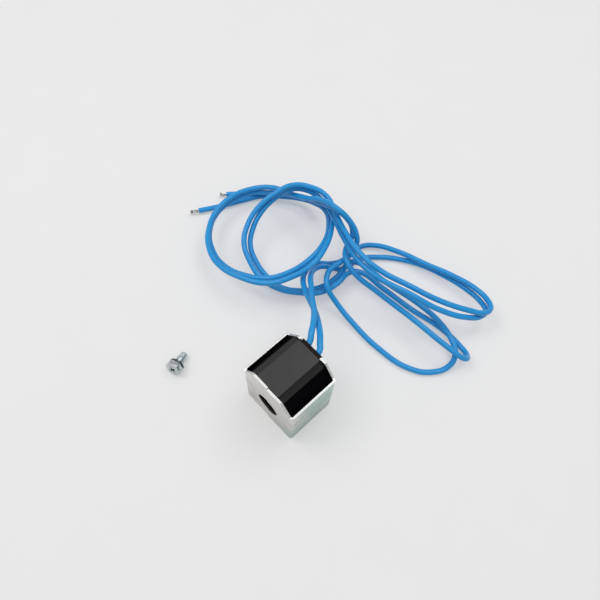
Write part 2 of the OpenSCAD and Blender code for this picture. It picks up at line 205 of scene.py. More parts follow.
def make_tube(lead, node):
    """Turns a lead's curve into a mesh and gives the points along its middle."""
    knots = lead.data.splines[0].bezier_points
    middle = [knots[0].co.copy()]
    for a, b in zip(knots[:-1], knots[1:]):
        middle += geometry.interpolate_bezier(a.co, a.handle_right, b.handle_left, b.co,
                                              CURVE_STEPS + 1)[1:]
    work_on(lead)
    bpy.ops.object.convert(target="MESH")
    bpy.ops.object.shade_smooth_by_angle(angle=LEAD_SMOOTH)
    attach(lead, "coil")
    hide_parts(node)
    run = sum((b - a).length for a, b in zip(middle[:-1], middle[1:]))
    print("%s: %.3f m long" % (lead.name, run))
    return middle


lead_a_points = make_tube(lead_a, "lead_a")
lead_b_points = make_tube(lead_b, "lead_b")

# %% [markdown]
# Each lead ends in a few millimetres of bare conductor: nineteen tinned wires, twisted, that open
# a little where they were cut. A cone with a bump map could pass for them from afar, but up close
# the wires show, so they are modelled. From here on the pieces are made as by hand: a primitive is
# added at its size and place, shaped in edit mode and finished with modifiers.

# %% Cut one wire for each lead
WIRE_D, WIRE_SIDES = 0.34 * MM, 8
STRIP_A, STRIP_B = 5.5 * MM, 4.5 * MM
TUCK = 1 * MM


def settle(name):
    """Names the new object and moves its place, turn and size into its mesh."""
    piece = bpy.context.object
    piece.name = piece.data.name = name
    bpy.ops.object.transform_apply()
    return piece


def add_rod(name, start, end, radius, sides=64):
    """A cylinder between two points."""
    start, end = Vector(start), Vector(end)
    turn = (end - start).to_track_quat("Z", "Y").to_euler()
    bpy.ops.mesh.primitive_cylinder_add(vertices=sides, radius=radius, depth=(end - start).length,
                                        location=(start + end) / 2, rotation=turn)
    return settle(name)


def size_in_mm(piece):
    """A piece's size as words, for the printed lines."""
    spans = [span / MM for span in piece.dimensions]
    return "%s: %.1f x %.1f x %.1f mm, %d faces" % (piece.name, *spans, len(piece.data.polygons))


strands_a = add_rod("bare_strands_a", (0, 0, -TUCK), (0, 0, STRIP_A), WIRE_D / 2, WIRE_SIDES)
strands_b = add_rod("bare_strands_b", (0, 0, -TUCK), (0, 0, STRIP_B), WIRE_D / 2, WIRE_SIDES)
print(size_in_mm(strands_a), "and", size_in_mm(strands_b))

# %% [markdown]
# A plain rod has points at its two ends only, so it could not follow a twist. By hand its long
# edges would be picked one by one and divided. Here a test picks them, and the cut ends then get
# a small round from a modifier that rounds what is sharper than an angle.

# %% Divide the wires and round their ends
WIRE_CUTS, WIRE_ROUND, WIRE_SHARP = 14, 0.04 * MM, 60


def pick(piece, kind, test):
    """Goes into edit mode and selects the edges or faces that pass a test."""
    if piece.mode == "OBJECT":
        work_on(piece)
        bpy.ops.object.mode_set(mode="EDIT")
    shape = bmesh.from_edit_mesh(piece.data)
    bpy.ops.mesh.select_mode(type=kind)
    bpy.ops.mesh.select_all(action="DESELECT")
    for part in shape.edges if kind == "EDGE" else shape.faces:
        middle = sum((corner.co for corner in part.verts), Vector()) / len(part.verts)
        part.select_set(test(middle, part))
    bmesh.update_edit_mesh(piece.data)


def finish_with(piece, kind, **settings):
    """Adds a modifier and applies it."""
    work_on(piece)
    modifier = piece.modifiers.new(kind, kind)
    for name, value in settings.items():
        setattr(modifier, name, value)
    bpy.ops.object.modifier_apply(modifier=modifier.name)


def soften(piece, width, degrees, segments=2):
    """Rounds the edges that are sharper than an angle, then shades the rest smoothly."""
    finish_with(piece, "BEVEL", width=width, segments=segments, limit_method="ANGLE",
                angle_limit=math.radians(degrees))
    bpy.ops.object.shade_smooth_by_angle(angle=math.radians(degrees))


for wire in (strands_a, strands_b):
    pick(wire, "EDGE", lambda middle, edge: edge.calc_length() > WIRE_D)
    bpy.ops.mesh.subdivide(number_cuts=WIRE_CUTS)
    bpy.ops.object.mode_set(mode="OBJECT")
    soften(wire, WIRE_ROUND, WIRE_SHARP)
    print(size_in_mm(wire))

# %% [markdown]
# Nineteen wires fill a hexagon: one in the middle, six round it and twelve round those. One wire
# is copied to each place. Towards its cut end a copy leans out, and some are cut shorter.
# Each wire could be bent by hand, but a twist modifier turns the whole bundle at once. It then
# moves to the end of its lead.

# %% Pack and twist the wires
SPLAY, UNEVEN, WANDER = 0.4, 0.6, 2.4
CUT_SHORT = 0.4 * TUCK
BUNDLE_TWIST = math.radians(70)


def pack_wires(wire, length):
    """Puts eighteen more wires round the first and joins them."""
    copies = []
    for ring in (1, 2):
        for k in range(6 * ring):
            side, along = divmod(k, ring)
            spoke, step = [Vector((math.cos(turn * math.tau / 6), math.sin(turn * math.tau / 6), 0))
                           for turn in (side, side + 2)]
            place = WIRE_D * (ring * spoke + along * step)
            lean = SPLAY * ring * (1 + UNEVEN * math.sin(WANDER * k))
            copy = wire.copy()
            copy.data = wire.data.copy()
            scene.collection.objects.link(copy)
            for corner in copy.data.vertices:
                out = max(corner.co.z / length, 0)
                corner.co += place * (1 + lean * out ** 2)
                corner.co.z -= CUT_SHORT * (k % 3) / 2 * out
            copies.append(copy)
    work_on(wire)
    for copy in copies:
        copy.select_set(True)
    bpy.ops.object.join()


for strands, node, length, points in ((strands_a, "lead_a_strands", STRIP_A, lead_a_points),
                                      (strands_b, "lead_b_strands", STRIP_B, lead_b_points)):
    pack_wires(strands, length)
    finish_with(strands, "SIMPLE_DEFORM", deform_method="TWIST", deform_axis="Z", angle=BUNDLE_TWIST)
    heading = (points[-1] - points[-2]).to_track_quat("Z", "Y").to_matrix()
    strands.data.transform(Matrix.Translation(points[-1]) @ heading.to_4x4())
    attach(strands, "coil")
    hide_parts(node)
    print(size_in_mm(strands))

# %% [markdown]
# The leads leave the coil at the outlet's face, as printed below. The real ones end bare, ready
# for the fitter's crimp, and the photograph shows them from end to end.

print("leads leave the outlet at y = %.2f mm" % (OUTLET_FACE_Y / MM))

# %% [markdown]
# The yoke is one steel strip. On the real one a press shears and punches the flat strip, and
# four bends then close it round the coil until its two ends meet at a seam in the front. It
# could be boxed out of five plates, but the sheared edges, the halves of the plunger's hole and
# the bends come out right by themselves when it is made as the press makes it: flat, then folded.
# Its flat length is that of its plates and bends in the middle of the sheet.

# %% Work out the flat strip
YOKE_W, YOKE_D = 36 * MM, 30.5 * MM
SIDE_H, CROWN_H, CROWN_W = 39 * MM, 47.5 * MM, 20 * MM
SHEET = 1.2 * MM
BEND_R = 2 * MM
SEAM = 0.25 * MM
BORE_Z = 21 * MM

FLAT_X, FLAT_Y = YOKE_W / 2 - BEND_R, YOKE_D / 2 - BEND_R
BEND_L = math.pi / 2 * (BEND_R - SHEET / 2)
FRONT_L = FLAT_X - SEAM / 2
SIDE_L = 2 * FLAT_Y + 2 * BEND_L
STRIP_L = 2 * FRONT_L + 2 * SIDE_L + 2 * FLAT_X
SHOULDER_RUN = FLAT_X - CROWN_W / 2
print("strip: %.1f mm long before bending" % (STRIP_L / MM))

# %% [markdown]
# The strip is a long block, and the press shears a valley out of its upper edge over each side
# plate, which leaves the crowns. A valley could be drawn as a polygon, but a block whose top face
# is widened has the same sloping shoulders and cuts them in one go.

# %% Shear the flat strip
FACING = 0.9


def add_block(name, low, high):
    """A cube between two corners."""
    low, high = Vector(low), Vector(high)
    bpy.ops.mesh.primitive_cube_add(size=1, location=(low + high) / 2, scale=high - low)
    return settle(name)


def cut(piece, cutter, operation="DIFFERENCE"):
    """Cuts a piece with another, or joins it, and removes that other piece."""
    finish_with(piece, "BOOLEAN", operation=operation, object=cutter, solver="EXACT")
    bpy.data.objects.remove(cutter)


yoke = add_block("yoke", (0, -SHEET / 2, 0), (STRIP_L, SHEET / 2, CROWN_H))
for valley_at in (FRONT_L, STRIP_L - FRONT_L - SIDE_L):
    valley = add_block("valley", (valley_at, -SHEET, SIDE_H), (valley_at + SIDE_L, SHEET, CROWN_H))
    pick(valley, "FACE", lambda middle, face: face.normal.z > FACING)
    bpy.ops.transform.resize(value=(1 + 2 * SHOULDER_RUN / SIDE_L, 1, 1))
    bpy.ops.mesh.extrude_region_move(TRANSFORM_OT_translate={"value": (0, 0, SHEET)})
    bpy.ops.object.mode_set(mode="OBJECT")
    cut(yoke, valley)
print(size_in_mm(yoke))

# %% [markdown]
# Next, the press rounds the crowns' corners and punches the openings: half of the plunger's hole in
# each end, the screw's hole in the middle and the notch for the leads. They could be cut after
# folding, but in the flat strip every punch is a plain rod or block that goes straight through.

# %% Round the crowns and punch the holes
CROWN_R, CROWN_STEPS = 1.5 * MM, 5
HOLE_R, SCREW_HOLE_R = 7 * MM, 2.75 * MM
NOTCH_X0, NOTCH_X1, NOTCH_Z = -8.1 * MM, 5.9 * MM, 40 * MM
CROWN_TURN = math.atan2(CROWN_H - SIDE_H, SHOULDER_RUN)
HOLES = ((-SEAM / 2, HOLE_R), (STRIP_L + SEAM / 2, HOLE_R), (STRIP_L / 2, SCREW_HOLE_R))

pick(yoke, "EDGE", lambda middle, edge: abs(middle.z - CROWN_H) < SEAM and abs(middle.y) < SEAM
     and min(middle.x, STRIP_L - middle.x) > SHEET)
bpy.ops.mesh.bevel(offset=CROWN_R * math.tan(CROWN_TURN / 2), offset_type="OFFSET",
                   segments=CROWN_STEPS, affect="EDGES")
bpy.ops.object.mode_set(mode="OBJECT")
for hole_x, radius in HOLES:
    cut(yoke, add_rod("punch", (hole_x, -SHEET, BORE_Z), (hole_x, SHEET, BORE_Z), radius))
cut(yoke, add_block("punch", (STRIP_L / 2 - NOTCH_X1, -SHEET, NOTCH_Z),
                    (STRIP_L / 2 - NOTCH_X0, SHEET, CROWN_H + SHEET)))
print(size_in_mm(yoke))

# %% [markdown]
# Shearing leaves a small round on every edge, and those rounds are what shines white along the
# rims. They could be added to the folded yoke, but bends make sharp edges harder to tell apart, so
# they go on while the strip is flat. Cuts across the four bends then give the strip the points
# that it needs to bend there.

# %% Prepare the strip for bending
EDGE_ROUND, EDGE_SHARP = 0.14 * MM, math.radians(35)
BEND_CUTS = 10
STRIP = [(FRONT_L, 0), (BEND_L, 90), (2 * FLAT_Y, 0), (BEND_L, 90), (2 * FLAT_X, 0),
         (BEND_L, 90), (2 * FLAT_Y, 0), (BEND_L, 90), (FRONT_L, 0)]

finish_with(yoke, "BEVEL", width=EDGE_ROUND, segments=2, limit_method="ANGLE", angle_limit=EDGE_SHARP)
bpy.ops.object.mode_set(mode="EDIT")
run = 0
for length, turn in STRIP:
    for k in range(BEND_CUTS + 1 if turn else 0):
        bpy.ops.mesh.select_all(action="SELECT")
        bpy.ops.mesh.bisect(plane_co=(run + length * k / BEND_CUTS, 0, 0), plane_no=(1, 0, 0))
    run += length
bpy.ops.object.mode_set(mode="OBJECT")
print(size_in_mm(yoke))

# %% [markdown]
# The press bends the strip round the coil. A bend modifier turns a whole mesh by one angle, and
# this strip has four bends with flats between them. So one function follows the strip from its end
# and says where a flat point ends up. A press never closes such a loop quite true: the right-hand
# half stands a little proud at the seam.

# %% Fold the strip
SEAM_STEP = 0.25 * MM
YOKE_SMOOTH = math.radians(30)
FACE_WEIGHT = 80


def folded(flat):
    """Where a point of the flat strip lies once the strip is bent."""
    at = Vector((SEAM / 2, -YOKE_D / 2 + SHEET / 2, flat.z))
    heading, left = 0.0, flat.x
    for length, turn in STRIP:
        step = min(left, length)
        bend = math.radians(turn) * step / length
        reach = step if not bend else 2 * length / math.radians(turn) * math.sin(bend / 2)
        at += reach * Vector((math.cos(heading + bend / 2), math.sin(heading + bend / 2), 0))
        heading += bend
        left -= step
    proud = SEAM_STEP * max(0, 1 - flat.x / FRONT_L)
    return at + (proud - flat.y) * Vector((math.sin(heading), -math.cos(heading), 0))


for corner in yoke.data.vertices:
    corner.co = folded(corner.co)
bpy.ops.object.shade_smooth_by_angle(angle=YOKE_SMOOTH)
finish_with(yoke, "WEIGHTED_NORMAL", keep_sharp=True, weight=FACE_WEIGHT)
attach(yoke, "coil")
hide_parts("yoke_frame")
print(size_in_mm(yoke))

# %% [markdown]
# The winding is cast into black resin. The cast fills the yoke, slopes in from the side plates
# and ends in a plateau with bevelled shoulders, a little left of the middle, over the outlet.
# It could be cut from a block by planes. A block whose top face is extruded and narrowed twice
# gives the mould's faces one by one, and each keeps its own edge.

# %% Cast the moulding
IN_X, IN_Y = 16.7 * MM, 13.95 * MM
CAST_BASE_Z, CAST_EDGE_Z = 0.4 * MM, 35.5 * MM
SHOULDER_HALF, SHOULDER_Z = 11 * MM, 44 * MM
PLATEAU_HALF, PLATEAU_Z = 7.5 * MM, 46.5 * MM
CAST_ROUND, CAST_SHARP, CAST_STEPS = 0.3 * MM, 20, 3

moulding = add_block("moulding", (-IN_X, -IN_Y, CAST_BASE_Z), (IN_X, IN_Y, CAST_EDGE_Z))
pick(moulding, "EDGE", lambda middle, edge: abs(middle.x) > IN_X - SEAM and abs(middle.y) > IN_Y - SEAM)
bpy.ops.mesh.bevel(offset=IN_X - FLAT_X, offset_type="OFFSET", segments=CAST_STEPS, affect="EDGES")
wide, at_z = IN_X, CAST_EDGE_Z
for new_wide, new_z, shift in ((SHOULDER_HALF, SHOULDER_Z, OUTLET_X), (PLATEAU_HALF, PLATEAU_Z, 0)):
    pick(moulding, "FACE", lambda middle, face: face.normal.z > FACING and middle.z > at_z - SEAM)
    bpy.ops.mesh.extrude_region_move(TRANSFORM_OT_translate={"value": (shift, 0, new_z - at_z)})
    bpy.ops.transform.resize(value=(new_wide / wide, 1, 1))
    wide, at_z = new_wide, new_z
bpy.ops.object.mode_set(mode="OBJECT")
soften(moulding, CAST_ROUND, CAST_SHARP, CAST_STEPS)
print(size_in_mm(moulding))

# %% [markdown]
# The outlet block is cast in one with the rest and sits in the notch at the back. It could stay a
# piece of its own, but then a seam would show, so it is joined on.

# %% Add the outlet
OUTLET_Z0, OUTLET_Z1, OUTLET_GAP = 40.15 * MM, 45.4 * MM, 0.15 * MM

outlet = add_block("outlet", (NOTCH_X0 + OUTLET_GAP, IN_Y - SHEET, OUTLET_Z0),
                   (NOTCH_X1 - OUTLET_GAP, OUTLET_FACE_Y, OUTLET_Z1))
soften(outlet, CAST_ROUND, CAST_SHARP, CAST_STEPS)
cut(moulding, outlet, "UNION")
print(size_in_mm(moulding))

# %% [markdown]
# Two sockets in the outlet grip the leads. Deeper in, the resin flowed round the bobbin, the winding
# and the two terminals. A solid block would run through them, so their room is cut out of it, and
# the part can be opened and still look right.

# %% Bore the sockets and clear the space for the core
SOCKET_GAP, CORE_SIDES = 0.05 * MM, 96
SOCKET_R = LEAD_D / 2 + SOCKET_GAP
FLANGE_R, TAPE_R, FLANGE_T = 15.55 * MM, 14.35 * MM, 1.55 * MM
LEDGE_X, LEDGE_Y, LEDGE_Z0, LEDGE_Z1 = 6.05 * MM, 8.4 * MM, 35.35 * MM, 38.45 * MM
PIN_HALF, PIN_Y, PIN_TOP = 0.55 * MM, 9.45 * MM, 43.55 * MM

for side in (1, -1):
    socket_x = OUTLET_X + side * LEAD_PITCH / 2
    cut(moulding, add_rod("socket", (socket_x, LEAD_INNER_Y, LEAD_Z), (socket_x, YOKE_D, LEAD_Z),
                          SOCKET_R))
    cut(moulding, add_block("pin", (socket_x - PIN_HALF, PIN_Y - PIN_HALF, LEDGE_Z0),
                            (socket_x + PIN_HALF, PIN_Y + PIN_HALF, PIN_TOP)))
    cut(moulding, add_rod("flange", (0, side * (IN_Y - FLANGE_T), BORE_Z), (0, side * YOKE_D, BORE_Z),
                          FLANGE_R, CORE_SIDES))
cut(moulding, add_rod("core", (0, -YOKE_D, BORE_Z), (0, YOKE_D, BORE_Z), TAPE_R, CORE_SIDES))
cut(moulding, add_block("ledge", (-LEDGE_X, LEDGE_Y, LEDGE_Z0), (LEDGE_X, IN_Y + SEAM, LEDGE_Z1)))
cut(moulding, add_block("ledge_web", (-LEDGE_X, IN_Y - FLANGE_T, BORE_Z),
                        (LEDGE_X, IN_Y + SEAM, LEDGE_Z1)))
bpy.ops.object.shade_smooth_by_angle(angle=math.radians(CAST_SHARP))
finish_with(moulding, "WEIGHTED_NORMAL", keep_sharp=True, weight=FACE_WEIGHT)
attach(moulding, "coil")
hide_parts("coil_moulding")
print(size_in_mm(moulding))

# %% [markdown]
# The screw lies loose beside the coil: a hexagon head with a cross recess, a plain neck that
# keeps the spring washer captive and a rolled M5 thread. A header die presses the head from wire
# and leaves a hexagon with a coned top. A six-sided cylinder cut by a cone gives the same curved
# lines where cone and flats meet, which a bevel on the hexagon would not.

# %% Form the screw's head
HEAD_AF, HEAD_H, HEAD_FALL = 8.5 * MM, 3.5 * MM, 0.7 * MM
CONE_H, CONE_TOP_R, CONE_SIDES = HEAD_FALL + HEAD_AF / 4, HEAD_AF / 2 - HEAD_FALL / 2, 96

screw = add_rod("screw", (0, 0, 0), (0, 0, HEAD_H), HEAD_AF / math.sqrt(3), 6)
bpy.ops.mesh.primitive_cone_add(vertices=CONE_SIDES, radius1=HEAD_AF, radius2=CONE_TOP_R,
                                depth=CONE_H, location=(0, 0, HEAD_H - CONE_H / 2))
cone = settle("cone")
pick(cone, "FACE", lambda middle, face: face.normal.z < -FACING)
bpy.ops.mesh.extrude_region_move(TRANSFORM_OT_translate={"value": (0, 0, -HEAD_H)})
bpy.ops.object.mode_set(mode="OBJECT")
cut(screw, cone, "INTERSECT")
print(size_in_mm(screw))

# %% [markdown]
# The cross recess is pressed in with the head, by a punch with two crossed blades that taper so
# that it comes out again. Two blocks with a smaller bottom face do as the blades. A cross drawn
# as one polygon would need its twelve points worked out by hand.

# %% Press the cross recess
RECESS_L, RECESS_W, RECESS_H = 4.6 * MM, 1.2 * MM, 1.8 * MM
RECESS_TAPER, RECESS_TURNS = (0.6, 0.8, 1), (45, 135)
HEAD_ROUND, HEAD_SHARP = 0.12 * MM, 25

for turn in RECESS_TURNS:
    recess = add_block("recess", (-RECESS_L / 2, -RECESS_W / 2, HEAD_H - RECESS_H),
                       (RECESS_L / 2, RECESS_W / 2, HEAD_H + SHEET))
    pick(recess, "FACE", lambda middle, face: face.normal.z < -FACING)
    bpy.ops.transform.resize(value=RECESS_TAPER)
    bpy.ops.object.mode_set(mode="OBJECT")
    recess.rotation_euler.z = math.radians(turn)
    settle("recess")
    cut(screw, recess)
soften(screw, HEAD_ROUND, HEAD_SHARP)
print(size_in_mm(screw))

# %% [markdown]
# The thread is rolled into the wire between two grooved plates, so its ridges are round. It could
# be a helix joined to a core, but moving the points of one cylinder in and out along the helix
# gives a closed skin with no seam.

# %% Roll the thread
THREAD_D, PITCH, THREAD_DEPTH = 5 * MM, 0.8 * MM, 0.45 * MM
SHANK_L, NECK_D, NECK_L, TIP = 9 * MM, 4.5 * MM, 1.4 * MM, 0.6 * MM
THREAD_SIDES, THREAD_ROWS = 48, 96
FLANK_RISE, GROOVE_FLOOR = 1.3, 0.15
THREAD_SMOOTH = math.radians(35)


def thread_radius(height, angle):
    """Radius of the shank at a height below the head, at an angle round its axis."""
    if height > -NECK_L:
        return NECK_D / 2
    phase = (height / PITCH + angle / math.tau) % 1
    ridge = min(max(FLANK_RISE * (1 - abs(2 * phase - 1)) - GROOVE_FLOOR, 0), 1)
    run_out = min((-NECK_L - height) / PITCH, 1)
    radius = THREAD_D / 2 - THREAD_DEPTH * (1 - ridge) * run_out
    return min(radius, THREAD_D / 2 - TIP + height + SHANK_L)


shank = add_rod("shank", (0, 0, -SHANK_L), (0, 0, HEAD_H / 4), THREAD_D / 2, THREAD_SIDES)
pick(shank, "EDGE", lambda middle, edge: edge.calc_length() > SHEET)
bpy.ops.mesh.subdivide(number_cuts=THREAD_ROWS)
bpy.ops.object.mode_set(mode="OBJECT")
for corner in shank.data.vertices:
    radius = thread_radius(corner.co.z, math.atan2(corner.co.y, corner.co.x))
    corner.co.xy = corner.co.xy.normalized() * radius
cut(screw, shank, "UNION")
bpy.ops.object.shade_smooth_by_angle(angle=THREAD_SMOOTH)
print(size_in_mm(screw))

# %% [markdown]
# The spring washer is a short piece of flat wire wound into one turn of a shallow helix, with
# a slit between its ends. It could be a ring with a slit cut out, but that would lie flat. So the
# wire's section is spun round the axis and each point is then lifted a little by its angle.

# %% Wind the spring washer
WASHER_IN, WASHER_OUT, WASHER_T, WASHER_PLAY = 2.3 * MM, 4.4 * MM, 1.2 * MM, 0.2 * MM
WASHER_STEPS, WASHER_LIFT = 48, 0.8 * WASHER_PLAY
WASHER_ROUND, WASHER_SHARP = 0.18 * MM, 40
SLIT, SLIT_TURN = 0.9 * MM, math.radians(200)
washer_r = (WASHER_IN + WASHER_OUT) / 2
slit_angle = SLIT / washer_r

bpy.ops.mesh.primitive_plane_add(size=WASHER_T, rotation=(math.pi / 2, 0, 0),
                                 location=(washer_r, 0, -(WASHER_T + WASHER_PLAY) / 2))
bpy.ops.transform.resize(value=((WASHER_OUT - WASHER_IN) / WASHER_T, 1, 1))
washer = settle("washer")
bpy.ops.object.mode_set(mode="EDIT")
bpy.ops.mesh.select_all(action="SELECT")
bpy.ops.mesh.spin(steps=WASHER_STEPS, angle=math.tau - slit_angle, center=(0, 0, 0), axis=(0, 0, 1))
bpy.ops.mesh.select_all(action="SELECT")
bpy.ops.mesh.normals_make_consistent(inside=False)
bpy.ops.object.mode_set(mode="OBJECT")
for corner in washer.data.vertices:
    share = (math.atan2(corner.co.y, corner.co.x) % math.tau) / math.tau
    corner.co.z += WASHER_LIFT * (share - 0.5)
washer.rotation_euler.z = SLIT_TURN + slit_angle / 2
settle("washer")
soften(washer, WASHER_ROUND, WASHER_SHARP, segments=3)
print(size_in_mm(washer))

# %% [markdown]
# Screw and washer were made upright at the origin. They could be placed by eye, but the model's
# joint for the washer holds the screw's real axis and a point on it, so both are turned and moved
# to lie as that joint says.

# %% Lay the screw on the table
SCREW_TURN = math.radians(110)
spin = next(joint for joint in frame["joints"] if joint["name"] == "washer_spin")
screw_axis = Vector(spin["axis"]).normalized()
screw_lean = math.asin(screw_axis.z)
lie = (Matrix.Translation(spin["pos_m"]) @ Matrix.Rotation(SCREW_TURN, 4, "Z")
       @ Matrix.Rotation(screw_lean - math.pi / 2, 4, "Y") @ Matrix.Translation((0, 0, NECK_L)))
for piece, body, node, slot in ((screw, "fixing_screw", "fixing_screw", "screw_zinc"),
                                (washer, "spring_washer", "spring_washer", "washer_steel")):
    piece.data.transform(lie)
    piece.data.update()
    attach(piece, body)
    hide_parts(node)
    low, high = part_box(node)
    print(size_in_mm(piece), "in a solid of %.1f x %.1f x %.1f mm" % tuple((high - low) / MM))

# %% [markdown]
# Colours are written as the hex values that a colour picker shows, and shaders work with linear
# light, so one function converts them. Another adds a node with its settings and its links. A third
# starts a finish: a Principled shader whose fixed values sit on its own sockets, with the piece's
# own coordinates to lay a pattern on. The last links patterns to it.

# %% Helpers for colours and nodes


def colour(code):
    """A hex colour as linear red, green, blue and alpha."""
    parts = [int(code[i:i + 2], 16) / 255 for i in (1, 3, 5)]
    return [p / 12.92 if p <= 0.04045 else ((p + 0.055) / 1.055) ** 2.4 for p in parts] + [1]


def add_node(tree, kind, inputs=(), **settings):
    """A new shader node. A value for an input is a number, a colour or another node's output."""
    node = tree.nodes.new("ShaderNode" + kind)
    for name, value in settings.items():
        setattr(node, name, value)
    for name, value in dict(inputs).items():
        if isinstance(value, bpy.types.NodeSocket):
            tree.links.new(value, node.inputs[name])
        else:
            node.inputs[name].default_value = value
    return node


def start_finish(name, **fixed):
    """A new material, its node tree and the coordinates of the piece that wears it."""
    material = bpy.data.materials.new(name)
    material.use_nodes = True
    tree = material.node_tree
    for socket, value in fixed.items():
        tree.nodes["Principled BSDF"].inputs[socket.replace("_", " ")].default_value = value
    return material, tree, add_node(tree, "TexCoord").outputs["Object"]


def feed(tree, **sources):
    """Links patterns to the shader's sockets, in place of what was there."""
    for socket, source in sources.items():
        tree.links.new(source, tree.nodes["Principled BSDF"].inputs[socket.replace("_", " ")])


print("middle grey, #808080, is %.3f in linear light" % colour("#808080")[0])

# %% [markdown]
# The spring washer is hardened steel, oiled and left dark. Its dark tone is partly the steel's own
# and partly painted shade for the dark band under the head, with a soft sheen where the oil lies
# thicker. Its patches could be painted, but noise of their real size needs no image. Most finishes
# below drift like this, so the recipe is a function. On a Mix node for colours, input 0 is the
# share, 6 and 7 are the colours and output 2 is the result.

# %% Oiled steel and painted shade for the washer
OIL_PATCH = 1.5 * MM


def mottle(tree, place, size, tones, rough, blend=(0, 1), span=(0, 1), detail=3):
    """Mixes two tones over one part of a noise's range, blend, and two roughnesses over another, span."""
    patch = add_node(tree, "TexNoise", {"Vector": place, "Scale": 1 / size, "Detail": detail})
    share = add_node(tree, "MapRange", {"Value": patch.outputs["Fac"], "From Min": blend[0],
                                        "From Max": blend[1]})
    tone = add_node(tree, "Mix", {0: share.outputs["Result"], 6: colour(tones[0]), 7: colour(tones[1])},
                    data_type="RGBA")
    dull = add_node(tree, "MapRange", {"Value": patch.outputs["Fac"], "From Min": span[0],
                                       "From Max": span[1], "To Min": rough[0], "To Max": rough[1]})
    feed(tree, Base_Color=tone.outputs[2], Roughness=dull.outputs["Result"])
    return tone.outputs[2]


def dress(material, *pieces):
    """Gives pieces one material and nothing else."""
    for piece in pieces:
        piece.data.materials.clear()
        piece.data.materials.append(material)
    print("%s on %s" % (material.name, ", ".join(piece.name for piece in pieces)))


oiled_steel_and_painted_shade, tree, place = start_finish("oiled_spring_steel_and_painted_shade", Metallic=1)
mottle(tree, place, OIL_PATCH, tones=("#565d63", "#3a4046"), rough=(0.25, 0.45))
dress(oiled_steel_and_painted_shade, washer)

# %% [markdown]
# The yoke is cold-rolled steel strip, plated with bright zinc. A clear passivation over the zinc is
# thin enough to show weak interference tints, so the front looks warm and the right-hand plate
# greenish. Each plate could have a colour of its own, but the film changes softly. So a tint follows
# the strip round and drifts over a centimetre. A tone that grows with height paints shade on the
# plates near the foot, where they mirror the shaded paper round it, and painted light near the crown.

# %% Tint of the zinc plating and painted shade by height
TINT_DRIFT, DRIFT_PART, HEIGHT_PART = 13 * MM, 1.6, 0.25
WARM_UP_TO, GREEN_FROM = 0.45, 1.05
FOOT_PAINTED_SHADE, CROWN_PAINTED_LIGHT = 0.77, 1.2

zinc, tree, place = start_finish("bright_zinc_plating", Metallic=1)
# The dot product grows from the left front corner to the right rear one, and falls with height.
tint_slope = (1 / YOKE_W, 1 / YOKE_D, -HEIGHT_PART / CROWN_H)
strip_way = add_node(tree, "VectorMath", {0: place, 1: tint_slope}, operation="DOT_PRODUCT")
drift = add_node(tree, "TexNoise", {"Vector": place, "Scale": 1 / TINT_DRIFT, "Detail": 3})
tint = add_node(tree, "Math", {0: drift.outputs["Fac"], 1: DRIFT_PART, 2: strip_way.outputs["Value"]},
                operation="MULTIPLY_ADD")
share = add_node(tree, "MapRange", {"Value": tint.outputs[0], "From Min": WARM_UP_TO,
                                    "From Max": GREEN_FROM})
plating = add_node(tree, "Mix", {0: share.outputs["Result"], 6: colour("#cdc9c4"),
                                 7: colour("#9fb8b1")}, data_type="RGBA")
# Painted shade at the base, at z = 0, turns into painted light at the crown.
height = add_node(tree, "SeparateXYZ", {0: place}).outputs["Z"]
painted_height_shade = add_node(tree, "MapRange", {"Value": height, "From Max": CROWN_H, "To Min": FOOT_PAINTED_SHADE,
                                      "To Max": CROWN_PAINTED_LIGHT})
plating_with_painted_shade = add_node(tree, "VectorMath", {0: plating.outputs[2], "Scale": painted_height_shade.outputs["Result"]},
                operation="SCALE")
feed(tree, Base_Color=plating_with_painted_shade.outputs["Vector"])
print("%s: %d nodes for the tint" % (zinc.name, len(tree.nodes)))

# %% [markdown]
# Rolling leaves fine lines along the strip, and hands leave dull smears on it. Lines cut into the
# mesh would need far too many points, so noise drawn out along the strip tilts the surface instead.
# Other finishes have small bumps too, so this recipe is a function. Coarser noise in the roughness
# does the smears.

# %% Lines and smears on the plates
ROLL_LINE, LINE_DEPTH, LINE_STRETCH = 0.35 * MM, 0.004 * MM, 0.02
SMEAR = 8 * MM
# Noise seldom leaves this part of its range.
NOISE_SPAN = (0.3, 0.7)


def ruffle(tree, place, size, depth, strength, detail=1):
    """Tilts a finish by bumps of a size and a depth."""
    bumps = add_node(tree, "TexNoise", {"Vector": place, "Scale": 1 / size, "Detail": detail})
    relief = add_node(tree, "Bump", {"Height": bumps.outputs["Fac"], "Strength": strength,
                                     "Distance": depth})
    feed(tree, Normal=relief.outputs["Normal"])


# Lines of 0.35 mm are coarser than real rolling lines, which would be too fine to show.
along = add_node(tree, "Mapping", {"Vector": place, "Scale": (LINE_STRETCH, LINE_STRETCH, 1)})
ruffle(tree, along.outputs["Vector"], ROLL_LINE, LINE_DEPTH, strength=0.1, detail=2)
smear = add_node(tree, "TexNoise", {"Vector": place, "Scale": 1 / SMEAR, "Detail": 2})
dull = add_node(tree, "MapRange", {"Value": smear.outputs["Fac"], "From Min": NOISE_SPAN[0],
                                   "From Max": NOISE_SPAN[1], "To Min": 0.2, "To Max": 0.36})
feed(tree, Roughness=dull.outputs["Result"])
dress(zinc, yoke)

# %% [markdown]
# Current crowds at edges in the plating bath, so the sheared rims carry the thickest, whitest zinc,
# and handling burnishes them. They could be found by a node that looks for edges, but a finish of
# their own on chosen faces is simpler: no tint, with small bruises where the strip was knocked.

# %% Burnished zinc for the rims
BRUISE, RIM_SLOPE = 1.2 * MM, 0.3


def dress_faces(material, piece, test):
    """Gives the faces that pass a test one more material."""
    piece.data.materials.append(material)
    pick(piece, "FACE", test)
    piece.active_material_index = len(piece.data.materials) - 1
    bpy.ops.object.material_slot_assign()
    bpy.ops.object.mode_set(mode="OBJECT")
    print("%s on some faces of %s" % (material.name, piece.name))


